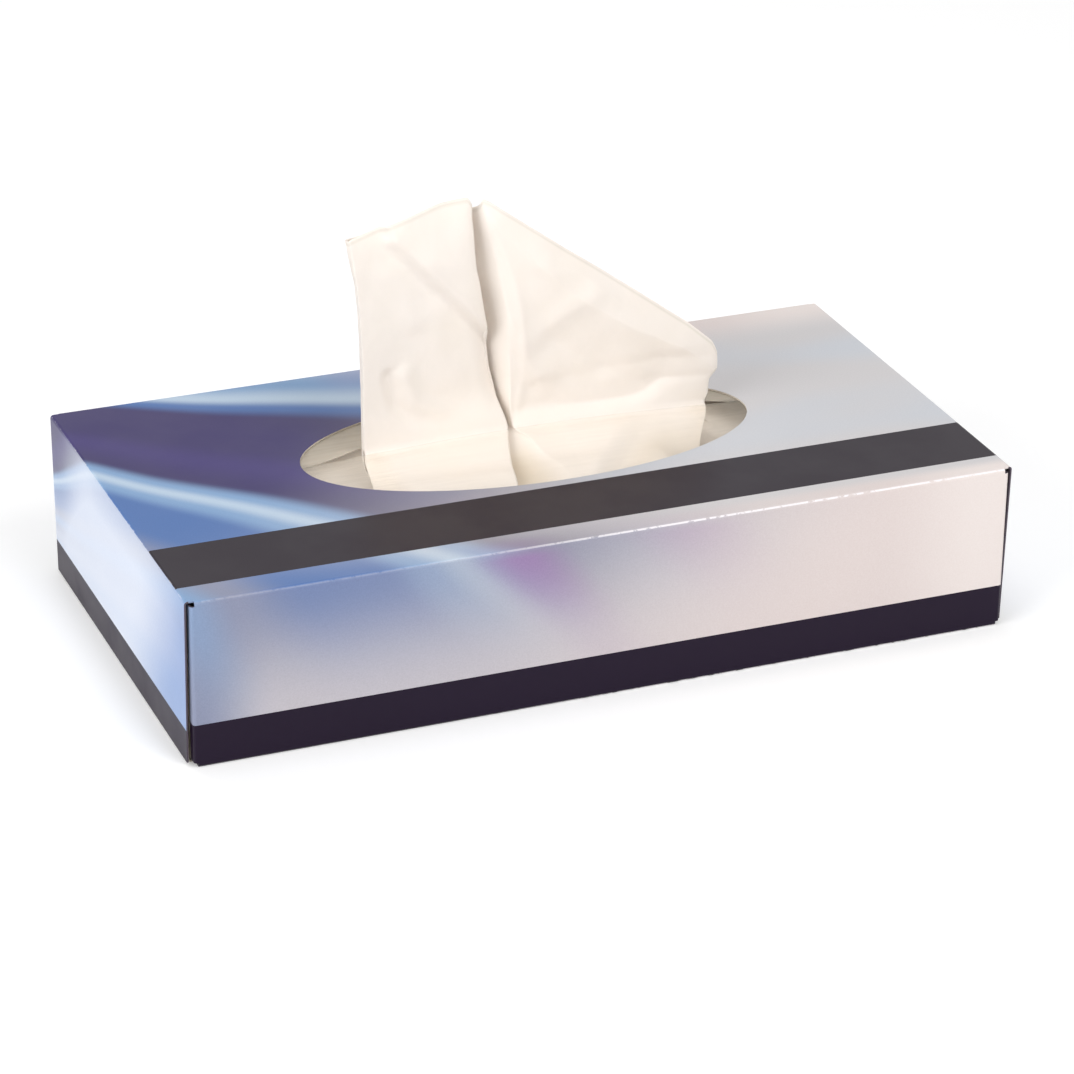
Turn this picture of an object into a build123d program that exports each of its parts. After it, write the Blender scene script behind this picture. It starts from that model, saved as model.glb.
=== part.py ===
"""Flat tissue box with an oval window, a slit film behind it and one tissue drawn up through the slit.

Millimetres, +Z up. The origin is the centre of the carton's bottom. X runs along the carton,
and +Y runs from its front panel to its back panel.
"""

import os

from build123d import *

os.makedirs("parts", exist_ok=True)

# Carton: one sheet of folding boxboard
carton_length = 222.0
carton_depth = 119.0
carton_height = 45.0
board = 0.45
fold_radius = 0.9  # outside radius of every fold
fold_lead = 0.3  # flat board between the long folds' ends and the first fold at an end
layer_gap = 0.15  # air and glue between two layers of board

# End flaps, which close each end in three layers
outer_flap_rise = 0.7  # from the base up to the free edge of the outer flap
inner_flap_height = 34.0
inner_flap_relief = 2.8  # clearance of the inner flap from the front and back panels' folds
dust_flap_reach = 44.0
flap_relief = 0.4  # clearance of a dust flap at its two ends
flap_taper = 1.4  # how much narrower on each side a flap is at its free edge
glue_flap_height = 14.0
seam_rise = 0.6  # from the base up to the free edge of the back panel

# Oval window in the top panel
window_length = 123.0
window_width = 58.0
window_shift_x = 1.5
window_shift_y = 3.2

# Film glued under the window, with a slit that the tissue holds open
film_thickness = 0.15
film_glue = 0.05
film_margin = 15.0  # glued border beyond the window
slit_inset = 2.5  # how much shorter than the window the slit is at each end
slit_shift_x = 0.5  # from the window's middle to the slit's
slit_shift_y = 1.8  # from the window's long axis back to the slit
slit_front_bow = 2.6
slit_back_bow = 11.0
front_lip_lift = 3.4
back_lip_lift = 1.2
tent_reach = 12.0  # how far from the slit the film begins to rise
slit_stations = 10

# Stack of folded tissues
stack_end_clearance = 4.35
stack_side_clearance = 6.55
stack_headroom = 7.3  # from the stack up to the top panel's inside
stack_ridges = 9  # bundles of folded edges that show on the long sides
ridge_bulge = 0.9

# Drawn tissue where it lies on the stack and passes the slit
tissue_thickness = 0.5
tissue_rest_gap = 0.2
lower_leaf_reach = 78.0  # from the front fold back over the stack
leaf_inset = 1.5  # the front fold's distance inside the stack's front face
apron_lead = 22.0  # flat upper leaf from the front fold to the apron
root_drop = 2.35  # from the film down to the root of the standing part
lip_clearance = 1.2  # from the film's front lip to the tissue's foremost crease
pleat_clearance = 4.0  # from the back of the pleat to the film's back lip
leaf_space = 2.0  # between a panel and the margin folded behind it
pleat_width = 2.0  # between the two walls of the deep pleat

# Drawn tissue where it stands: runs along X are from the slit's ends, rises are from the carton's top
left_run = 14.2
right_run = 9.5
pleat_run = 54.3  # to the pleat's mouth where it passes the slit
pleat_lean = 9.8  # how far left of that the mouth is at the free edge
pleat_depth = 14.5  # at the free edge
pleat_turn = 6.5  # how far left of its mouth the back of the pleat is there
left_lean = 3.1  # how far the left edge leans out at the free edge
right_lean = 5.3
left_margin_width = 18.8
right_margin_width = 17.0
peak_rise = 67.7
left_corner_rise = 59.8
right_corner_rise = 13.6
lip_rise = 3.4  # where the pleat's mouth closes, just above the film
facet_rise = 15.0  # where the low crease right of the pleat bends
valley_rise = 31.0  # where the creases left of the pleat meet it
shoulder_rise = 37.0  # where the creases right of the pleat meet it
left_bend_rise = 39.0  # where the left edge begins to lean out
spare_rise = 2.0  # sheet above the peaks, which the free edge cuts off
back_edge_fall = 0.55  # how steeply the free edge falls behind the panels, for each mm it runs back

# Places worked out from the sizes
half_length = carton_length / 2
half_depth = carton_depth / 2
mid_radius = fold_radius - board / 2
layer_pitch = board + layer_gap
inner_face = half_length - layer_pitch
dust_face = inner_face - layer_pitch
tube_end = dust_face - fold_radius - fold_lead
film_top = carton_height - board - film_glue
film_bottom = film_top - film_thickness
slit_length = window_length - 2 * slit_inset
slit_x = window_shift_x + slit_shift_x
slit_left = slit_x - slit_length / 2
slit_right = slit_x + slit_length / 2
slit_y = window_shift_y + slit_shift_y
stack_length = 2 * (dust_face - board - stack_end_clearance)
stack_depth = carton_depth - 2 * board - 2 * stack_side_clearance
stack_bottom = board
stack_top = carton_height - board - stack_headroom
stack_height = stack_top - stack_bottom


def end_flap(face, panel_z, free_z, width):
    """Strip that continues the top or bottom panel, bends at the end and hangs or stands as a flap.

    Seen from the end, it is full width at its fold and narrower at its free edge.
    """
    bend_z = panel_z - board / 2 if free_z < panel_z else panel_z + board / 2
    with BuildPart() as flap:
        with BuildSketch(Plane.XZ):
            with BuildLine():
                FilletPolyline(
                    (tube_end, bend_z),
                    (face - board / 2, bend_z),
                    (face - board / 2, free_z),
                    radius=mid_radius,
                )
            trace(line_width=board)
        extrude(amount=width / 2, both=True)
        with BuildSketch(Plane.YZ.offset(tube_end)):
            with BuildLine():
                Polyline(
                    (-width / 2, panel_z),
                    (width / 2, panel_z),
                    (width / 2 - flap_taper, free_z),
                    (-width / 2 + flap_taper, free_z),
                    close=True,
                )
            make_face()
        extrude(amount=face - tube_end, mode=Mode.INTERSECT)
    return flap.part


def dust_flap(side):
    """Flap that continues the front or back panel and lies innermost at the end."""
    panel_y = side * (half_depth - board / 2)
    free_y = side * (half_depth - dust_flap_reach)
    low = fold_radius + flap_relief
    high = carton_height - fold_radius - flap_relief
    with BuildPart() as flap:
        with BuildSketch(Plane.XY.offset(low)):
            with BuildLine():
                FilletPolyline(
                    (tube_end, panel_y),
                    (dust_face - board / 2, panel_y),
                    (dust_face - board / 2, free_y),
                    radius=mid_radius,
                )
            trace(line_width=board)
        extrude(amount=high - low)
    return flap.part


# Carton: the tube of four panels with its glued seam at the lower back edge, then the flaps of one end,
# their mirror image at the other end, and the window
with BuildPart() as carton:
    with BuildSketch(Plane.YZ):
        with BuildLine():
            seam_y = half_depth - board / 2
            glue_flap_y = seam_y - layer_pitch
            FilletPolyline(
                (seam_y, seam_rise),
                (seam_y, carton_height - board / 2),
                (-seam_y, carton_height - board / 2),
                (-seam_y, board / 2),
                (glue_flap_y, board / 2),
                (glue_flap_y, glue_flap_height),
                radius=mid_radius,
            )
        trace(line_width=board)
    extrude(amount=tube_end)
    top_width = carton_depth - 2 * fold_radius
    bottom_width = carton_depth - 2 * fold_radius - 2 * inner_flap_relief
    add(end_flap(half_length, carton_height, outer_flap_rise, top_width))
    add(end_flap(inner_face, 0.0, inner_flap_height, bottom_width))
    add(dust_flap(-1))
    add(dust_flap(1))
    mirror(about=Plane.YZ)
    with BuildSketch(Plane.XY.offset(carton_height)):
        with Locations((window_shift_x, window_shift_y)):
            Ellipse(window_length / 2, window_width / 2)
    extrude(amount=2 * board, both=True, mode=Mode.SUBTRACT)
carton.part.label = "carton"
export_step(carton.part, "parts/carton.step")


def slit_share(x):
    """How far the slit is parted at x, from 0 at its ends to 1 in its middle."""
    return 1 - ((x - slit_x) / (slit_length / 2)) ** 2


def film_slope(side, bow, lift):
    """The film in front of the slit or behind it, where it rises from the flat border to its lip."""
    tent_y = slit_y + side * tent_reach
    with BuildPart() as slope:
        for station in range(slit_stations + 1):
            x = slit_left + slit_length * station / slit_stations
            lip_y = slit_y + side * bow * slit_share(x)
            lip_z = film_bottom + lift * slit_share(x)
            with BuildSketch(Plane.YZ.offset(x)):
                with BuildLine():
                    Polyline(
                        (tent_y, film_bottom),
                        (lip_y, lip_z),
                        (lip_y, lip_z + film_thickness),
                        (tent_y, film_top),
                        close=True,
                    )
                make_face()
        loft(ruled=True)
    return slope.part


# Film: a flat border glued under the panel, and two slopes that rise to the lips of the slit
with BuildPart() as film_insert:
    with BuildSketch(Plane.XY.offset(film_bottom)):
        with Locations((window_shift_x, window_shift_y)):
            Rectangle(window_length + 2 * film_margin, window_width + 2 * film_margin)
        with Locations((slit_x, slit_y)):
            Rectangle(slit_length, 2 * tent_reach, mode=Mode.SUBTRACT)
    extrude(amount=film_thickness)
    add(film_slope(-1, slit_front_bow, front_lip_lift))
    add(film_slope(1, slit_back_bow, back_lip_lift))
film_insert.part.label = "film_insert"
export_step(film_insert.part, "parts/film_insert.step")

# Stack: its section has the rounded bundles of folded edges down both long sides
with BuildPart() as tissue_stack:
    with BuildSketch(Plane.YZ):
        with BuildLine():
            edge_y = stack_depth / 2 - ridge_bulge
            pitch = stack_height / stack_ridges
            Line((0, stack_bottom), (edge_y, stack_bottom))
            for ridge in range(stack_ridges):
                low = stack_bottom + ridge * pitch
                ThreePointArc(
                    (edge_y, low),
                    (edge_y + ridge_bulge, low + pitch / 2),
                    (edge_y, low + pitch),
                )
            Line((edge_y, stack_top), (0, stack_top))
            Line((0, stack_top), (0, stack_bottom))
        make_face()
        mirror(about=Plane.YZ)
    extrude(amount=stack_length / 2, both=True)
tissue_stack.part.label = "tissue_stack"
export_step(tissue_stack.part, "parts/tissue_stack.step")

# Heights and places of the drawn tissue
lower_mid = stack_top + tissue_rest_gap + tissue_thickness / 2
upper_mid = lower_mid + tissue_thickness + tissue_rest_gap
front_fold_y = -stack_depth / 2 + leaf_inset
apron_y = front_fold_y + apron_lead
root_z = film_bottom - root_drop
left_x = slit_left + left_run
right_x = slit_right - right_run
pleat_x = slit_left + pleat_run
swell = slit_front_bow - lip_clearance
pleat_root_depth = slit_back_bow - pleat_clearance


def on_fold(fold, z):
    """Point (x, y) where a fold line, listed upwards, crosses the height z."""
    low, high = fold[0], fold[-1]
    for below, above in zip(fold, fold[1:]):
        if below[2] <= z <= above[2]:
            low, high = below, above
    share = min(max((z - low[2]) / (high[2] - low[2]), 0.0), 1.0)
    return (low[0] + share * (high[0] - low[0]), low[1] + share * (high[1] - low[1]))


def sheet_outline(points, thickness):
    """Closed outline of a sheet of this thickness whose middle runs through the points."""
    sides = ([], [])
    for index, point in enumerate(points):
        before = Vector(*points[max(index - 1, 0)])
        after = Vector(*points[min(index + 1, len(points) - 1)])
        here = Vector(*point)
        into = (here - before).normalized() if index else (after - here).normalized()
        out = (after - here).normalized() if index < len(points) - 1 else into
        bisector = (into + out).normalized()
        normal = Vector(-bisector.Y, bisector.X)
        reach = thickness / 2 / max(bisector.dot(into), 0.5)
        sides[0].append(here + normal * reach)
        sides[1].append(here - normal * reach)
    return sides[0] + sides[1][::-1]


def fold_line(*points):
    """Fold line through points (x, depth behind the slit, rise above the carton's top), listed upwards."""
    return [(x, slit_y + depth, carton_height + rise) for x, depth, rise in points]


# Fold lines of the standing tissue, each from its root below the slit to above the free edge.
# Seen from above, the sheet runs from a margin folded behind the left panel, over the left panel,
# into the deep pleat and out again, over the right panel, to a margin folded behind that.
root_rise = root_z - carton_height
top_rise = peak_rise + spare_rise
right_turn_rise = right_corner_rise - 3.6  # where the right edge turns back inwards
top_pleat_x = pleat_x - pleat_lean
left_margin = fold_line(
    (left_x + left_margin_width, leaf_space + 1.4, root_rise),
    (left_x + left_margin_width - 1.0, leaf_space + 3.2, top_rise),
)
left_fold_back = fold_line(
    (left_x, leaf_space + 0.2, root_rise),
    (left_x - 0.7, leaf_space + 0.2, left_bend_rise),
    (left_x - left_lean, leaf_space + 1.8, top_rise),
)
left_fold = fold_line(
    (left_x, 0.2, root_rise),
    (left_x - 0.5, 0.2, left_bend_rise),
    (left_x - left_lean - 0.2, 1.0, top_rise),
)
left_crease = fold_line(
    (pleat_x - 8.0, -0.3 * swell, root_rise),
    (pleat_x - 9.5, -0.6 * swell, valley_rise),
    (left_x + 11.0, -0.7 * swell, left_corner_rise - 3.8),
    (left_x + 10.0, -0.7 * swell, top_rise),
)
pleat_left_lip = fold_line(
    (pleat_x - pleat_width / 2, 0.0, root_rise),
    (pleat_x - pleat_width / 2, 0.0, lip_rise),
    (pleat_x - 0.6 * pleat_lean, 0.0, valley_rise),
    (top_pleat_x - 1.0 - pleat_width / 2, -1.0, top_rise),
)
pleat_left_deep = fold_line(
    (pleat_x - pleat_width / 2, pleat_root_depth, root_rise),
    (pleat_x - pleat_width / 2, pleat_root_depth, lip_rise),
    (top_pleat_x - pleat_turn - pleat_width / 2, pleat_depth, top_rise),
)
pleat_right_deep = fold_line(
    (pleat_x + pleat_width / 2, pleat_root_depth, root_rise),
    (pleat_x + pleat_width / 2, pleat_root_depth, lip_rise),
    (top_pleat_x - pleat_turn + pleat_width / 2, pleat_depth, top_rise),
)
pleat_right_lip = fold_line(
    (pleat_x + pleat_width / 2, 0.0, root_rise),
    (pleat_x + pleat_width / 2, 0.0, lip_rise),
    (pleat_x - 0.2 * pleat_lean, -0.8, shoulder_rise),
    (top_pleat_x + 0.8 + pleat_width / 2, -0.6, top_rise),
)
middle_crease = fold_line(
    (pleat_x + 10.0, -swell, root_rise),
    (pleat_x + 7.2, -3.0, facet_rise),
    (pleat_x + 1.2, -1.6, shoulder_rise),
    (top_pleat_x + 4.6, -0.6, top_rise),
)
right_crease = fold_line(
    (right_x - 9.0, 0.8, root_rise),
    (right_x + right_lean - 7.0, -0.5, right_corner_rise - 0.6),
    (right_x + right_lean - 42.8, -3.2, shoulder_rise),
    (top_pleat_x + 8.0, -1.4, peak_rise - 7.7),
    (top_pleat_x + 7.6, -1.2, top_rise),
)
right_fold = fold_line(
    (right_x, 0.2, root_rise),
    (right_x + right_lean - 2.7, 0.6, lip_rise),
    (right_x + right_lean, 0.8, right_turn_rise),
    (right_x + right_lean + 0.3, 1.6, top_rise),
)
right_fold_back = fold_line(
    (right_x, leaf_space - 0.2, root_rise),
    (right_x + right_lean - 2.7, leaf_space + 0.4, lip_rise),
    (right_x + right_lean, leaf_space + 0.9, right_turn_rise),
    (right_x + right_lean + 0.3, leaf_space + 2.2, top_rise),
)
right_margin = fold_line(
    (right_x - right_margin_width + 1.5, leaf_space + 1.0, root_rise),
    (right_x - right_margin_width - 1.5, leaf_space + 4.4, top_rise),
)
sheet_folds = [
    left_margin,
    left_fold_back,
    left_fold,
    left_crease,
    pleat_left_lip,
    pleat_left_deep,
    pleat_right_deep,
    pleat_right_lip,
    middle_crease,
    right_crease,
    right_fold,
    right_fold_back,
    right_margin,
]
sheet_rises = [
    root_rise,
    lip_rise,
    right_turn_rise,
    facet_rise,
    (facet_rise + valley_rise) / 2,
    valley_rise,
    left_bend_rise,
    (left_bend_rise + left_corner_rise) / 2,
    left_corner_rise,
    top_rise,
]

# Free top edge of the tissue, seen from the front: up to the two peaks beside the pleat's notch,
# then down the long slope to the low right corner. Behind the panels it also falls as it runs back.
free_edge = [
    (left_x - left_lean - 9.0, left_corner_rise - 3.0),
    (left_x - left_lean, left_corner_rise),
    (left_x - left_lean + 9.2, left_corner_rise + 3.1),
    (top_pleat_x - 9.7, peak_rise - 0.8),
    (top_pleat_x - 2.3, peak_rise),
    (top_pleat_x - 0.8, peak_rise - 2.8),
    (top_pleat_x + 1.1, peak_rise - 3.0),
    (top_pleat_x + 1.3, peak_rise - 0.8),
    (top_pleat_x + 3.7, peak_rise - 1.9),
    (top_pleat_x + 23.9, peak_rise - 16.9),
    (right_x + right_lean - 18.1, right_corner_rise + 17.2),
    (right_x + right_lean - 2.0, right_corner_rise + 4.3),
    (right_x + right_lean + 6.0, right_corner_rise - 8.0),
    (right_x + right_lean + 6.0, top_rise + pleat_depth),
    (left_x - left_lean - 9.0, top_rise + pleat_depth),
]

# Standing part of the tissue: a folded sheet through all its levels, cut to its free edge
with BuildPart() as standing_sheet:
    for rise in sheet_rises:
        level = carton_height + rise
        section = sheet_outline([on_fold(fold, level) for fold in sheet_folds], tissue_thickness)
        with BuildSketch(Plane.XY.offset(level)):
            with BuildLine():
                Polyline([(corner.X, corner.Y) for corner in section], close=True)
            make_face()
    loft(ruled=True)
    for heading in ((0, -1, 0), (0, 1, -back_edge_fall)):
        with BuildSketch(Plane.XZ.offset(-slit_y - leaf_space / 2)):
            with BuildLine():
                Polyline([(x, carton_height + rise) for x, rise in free_edge], close=True)
            make_face()
        extrude(amount=carton_depth, dir=heading, mode=Mode.SUBTRACT)

# Drawn tissue: the two leaves lying on the stack, the apron that rises to the slit, and the standing part
with BuildPart() as drawn_tissue:
    with BuildSketch(Plane.YZ):
        with BuildLine():
            turn = (upper_mid - lower_mid) / 2
            Line((apron_y, upper_mid), (front_fold_y, upper_mid))
            ThreePointArc(
                (front_fold_y, upper_mid),
                (front_fold_y - turn, lower_mid + turn),
                (front_fold_y, lower_mid),
            )
            Line((front_fold_y, lower_mid), (front_fold_y + lower_leaf_reach, lower_mid))
        trace(line_width=tissue_thickness)
    extrude(amount=stack_length / 2, both=True)
    with BuildSketch(Plane.XZ.offset(-apron_y)):
        with Locations((0, upper_mid)):
            Rectangle(stack_length, tissue_thickness)
    with BuildSketch(Plane.XZ.offset(-slit_y)):
        with Locations(((left_x + right_x) / 2, root_z + tissue_thickness / 2)):
            Rectangle(right_x - left_x, tissue_thickness)
    loft(ruled=True)
    add(standing_sheet)
drawn_tissue.part.label = "drawn_tissue"
export_step(drawn_tissue.part, "parts/drawn_tissue.step")
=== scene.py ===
"""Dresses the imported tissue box: print on the carton, the slit film, the stack and the drawn tissue.

Shapes are worked out in millimetres in the model's own frame, and made in metres.
Seen from the front, X runs to the right along the carton, Y runs away and Z runs up.
"""

import math
from contextlib import contextmanager

import bmesh
import bpy
import numpy as np
from mathutils import Matrix, Vector, noise


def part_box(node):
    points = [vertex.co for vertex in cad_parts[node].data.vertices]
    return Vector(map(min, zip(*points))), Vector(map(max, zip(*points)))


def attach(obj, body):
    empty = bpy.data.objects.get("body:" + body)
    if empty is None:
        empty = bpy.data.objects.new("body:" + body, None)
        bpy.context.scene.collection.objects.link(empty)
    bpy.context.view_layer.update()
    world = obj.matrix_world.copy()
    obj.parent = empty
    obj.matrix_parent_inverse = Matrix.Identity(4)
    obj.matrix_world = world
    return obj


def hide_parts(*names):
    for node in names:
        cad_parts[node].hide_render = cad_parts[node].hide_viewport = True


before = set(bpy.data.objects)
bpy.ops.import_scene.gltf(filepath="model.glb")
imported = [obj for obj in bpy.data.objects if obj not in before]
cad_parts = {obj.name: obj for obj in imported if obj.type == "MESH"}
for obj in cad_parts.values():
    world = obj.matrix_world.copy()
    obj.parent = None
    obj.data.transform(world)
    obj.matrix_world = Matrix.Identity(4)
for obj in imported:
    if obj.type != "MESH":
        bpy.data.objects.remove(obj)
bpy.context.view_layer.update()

MM = 0.001

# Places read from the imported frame, in millimetres
carton_high = np.array(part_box("carton")[1]) / MM
film_low, film_high = (np.array(corner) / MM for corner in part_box("film_insert"))
stack_low, stack_high = (np.array(corner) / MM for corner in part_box("tissue_stack"))
tissue_low, tissue_high = (np.array(corner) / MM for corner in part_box("drawn_tissue"))

# Carton
board = 0.45
fold_radius = 0.9
half_length, half_depth, carton_height = carton_high

# Window and film
film_margin = 15.0
window_x = (film_low[0] + film_high[0]) / 2
window_y = (film_low[1] + film_high[1]) / 2
window_half_length = (film_high[0] - film_low[0]) / 2 - film_margin
window_half_width = (film_high[1] - film_low[1]) / 2 - film_margin
film_thickness = 0.15
film_mid = film_low[2] + film_thickness / 2

# Slit in the film
slit_inset = 2.5
slit_x = window_x + 0.5
slit_y = window_y + 1.8
slit_half_length = window_half_length - slit_inset
slit_left = slit_x - slit_half_length
slit_right = slit_x + slit_half_length
slit_front_bow = 2.6
slit_back_bow = 11.0
front_lip_lift = 3.4
back_lip_lift = 1.2
tent_reach = 12.0

# Drawn tissue: its foot stands this far behind the film's front lip, and this far above it
tissue_thickness = 0.24
lip_room = 1.0
foot_rise = 0.8
left_x = slit_left + 14.2
right_x = slit_right - 9.5
pleat_x = slit_left + 54.3


def slit_share(x):
    """How far the slit is parted at x, from 0 at its ends to 1 in its middle."""
    return np.clip(1 - ((x - slit_x) / slit_half_length) ** 2, 0, 1)


def front_lip(x):
    """Place (y, z) of the film's front lip at x."""
    return slit_y - slit_front_bow * slit_share(x), film_mid + front_lip_lift * slit_share(x)


def back_lip(x):
    """Place (y, z) of the film's back lip at x."""
    return slit_y + slit_back_bow * slit_share(x), film_mid + back_lip_lift * slit_share(x)


def ease(value):
    """Smooth step from 0 to 1."""
    value = np.clip(value, 0, 1)
    return value * value * (3 - 2 * value)


def soft_noise(points, size, seed):
    """Smooth noise from -1 to 1 at each point, with waves of about this size."""
    flat = points.reshape(-1, 3)
    shift = Vector((seed * 17.3, seed * 5.1, seed * 29.7))
    found = [noise.noise(Vector(point) / size + shift) for point in flat]
    return np.array(found).reshape(points.shape[:-1])


def crumple_noise(points, size, seed):
    """Ridged noise from 0 to 1, like the faint creases of paper that was folded before."""
    flat = points.reshape(-1, 3)
    shift = Vector((seed * 11.9, seed * 23.3, seed * 3.7))
    found = []
    for point in flat:
        near = noise.voronoi(Vector(point) / size + shift)[0]
        found.append(near[1] - near[0])
    return np.array(found).reshape(points.shape[:-1])


def smooth_along(grid, axis, times):
    """Rounds a grid of points along one of its directions and keeps its two borders there."""
    grid = np.moveaxis(grid, axis, 0).copy()
    for _ in range(times):
        grid[1:-1] = (grid[:-2] + 2 * grid[1:-1] + grid[2:]) / 4
    return np.moveaxis(grid, 0, axis)


def lengths_along(points):
    """Length of a line up to each of its points."""
    steps = np.linalg.norm(np.diff(points, axis=0), axis=1)
    return np.concatenate([[0.0], np.cumsum(steps)])


def height_over(points, x):
    """Height at x of the line through these points (x, z)."""
    line = np.array(points)
    return np.interp(x, line[:, 0], line[:, 1])


def add_object(name, data):
    """New object in the scene, for a mesh, a lamp or a camera."""
    made = bpy.data.objects.new(name, data)
    bpy.context.scene.collection.objects.link(made)
    return made


def grid_object(name, grid, valid=None, flat=None):
    """Mesh of quads through a grid of points. Cells with a corner outside valid are left out.

    flat holds each point's place on the uncut sheet, in millimetres, and becomes the UV map.
    """
    rows, columns = grid.shape[:2]
    if valid is None:
        valid = np.ones((rows, columns), bool)
    index = -np.ones((rows, columns), int)
    index[valid] = np.arange(valid.sum())
    corners = [index[:-1, :-1], index[:-1, 1:], index[1:, 1:], index[1:, :-1]]
    cells = np.stack(corners, -1).reshape(-1, 4)
    cells = cells[(cells >= 0).all(1)]
    mesh = bpy.data.meshes.new(name)
    mesh.from_pydata((grid[valid] * MM).tolist(), [], cells.tolist())
    mesh.polygons.foreach_set("use_smooth", [True] * len(mesh.polygons))
    if flat is not None:
        layer = mesh.uv_layers.new(name="sheet")
        order = np.zeros(len(mesh.loops), int)
        mesh.loops.foreach_get("vertex_index", order)
        layer.data.foreach_set("uv", flat[valid][order].astype(np.float32).ravel())
    return add_object(name, mesh)


def store_numbers(piece, numbers):
    """Stores a number at each point of a piece under each name, for its material to read."""
    for name, values in numbers.items():
        layer = piece.data.attributes.new(name, "FLOAT", "POINT")
        layer.data.foreach_set("value", values.astype(np.float32).ravel())


@contextmanager
def editing(mesh):
    """Opens a mesh for changes to its points and faces, and writes them back."""
    shape = bmesh.new()
    shape.from_mesh(mesh)
    yield shape
    shape.to_mesh(mesh)
    shape.free()


def weld(piece, distance):
    """Joins the points of a mesh that lie this close, in millimetres."""
    with editing(piece.data) as shape:
        bmesh.ops.remove_doubles(shape, verts=shape.verts, dist=distance * MM)


def thicken(piece, thickness):
    """Gives a sheet its thickness, in millimetres and half to each side, as part of its mesh."""
    solid = piece.modifiers.new("thickness", "SOLIDIFY")
    solid.thickness = thickness * MM
    solid.offset = 0.0
    solid.use_even_offset = False
    bpy.context.view_layer.update()
    shaped = piece.evaluated_get(bpy.context.evaluated_depsgraph_get())
    mesh = bpy.data.meshes.new_from_object(shaped)
    piece.modifiers.clear()
    piece.data = mesh


def dress(piece, material):
    """Gives a piece its one material."""
    piece.data.materials.clear()
    piece.data.materials.append(material)


def srgb(red, green, blue):
    """Colour as the shaders want it, from the 0 to 255 values that a screen shows."""
    def linear(value):
        share = value / 255
        return share / 12.92 if share <= 0.04045 else ((share + 0.055) / 1.055) ** 2.4

    return (linear(red), linear(green), linear(blue), 1.0)


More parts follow.
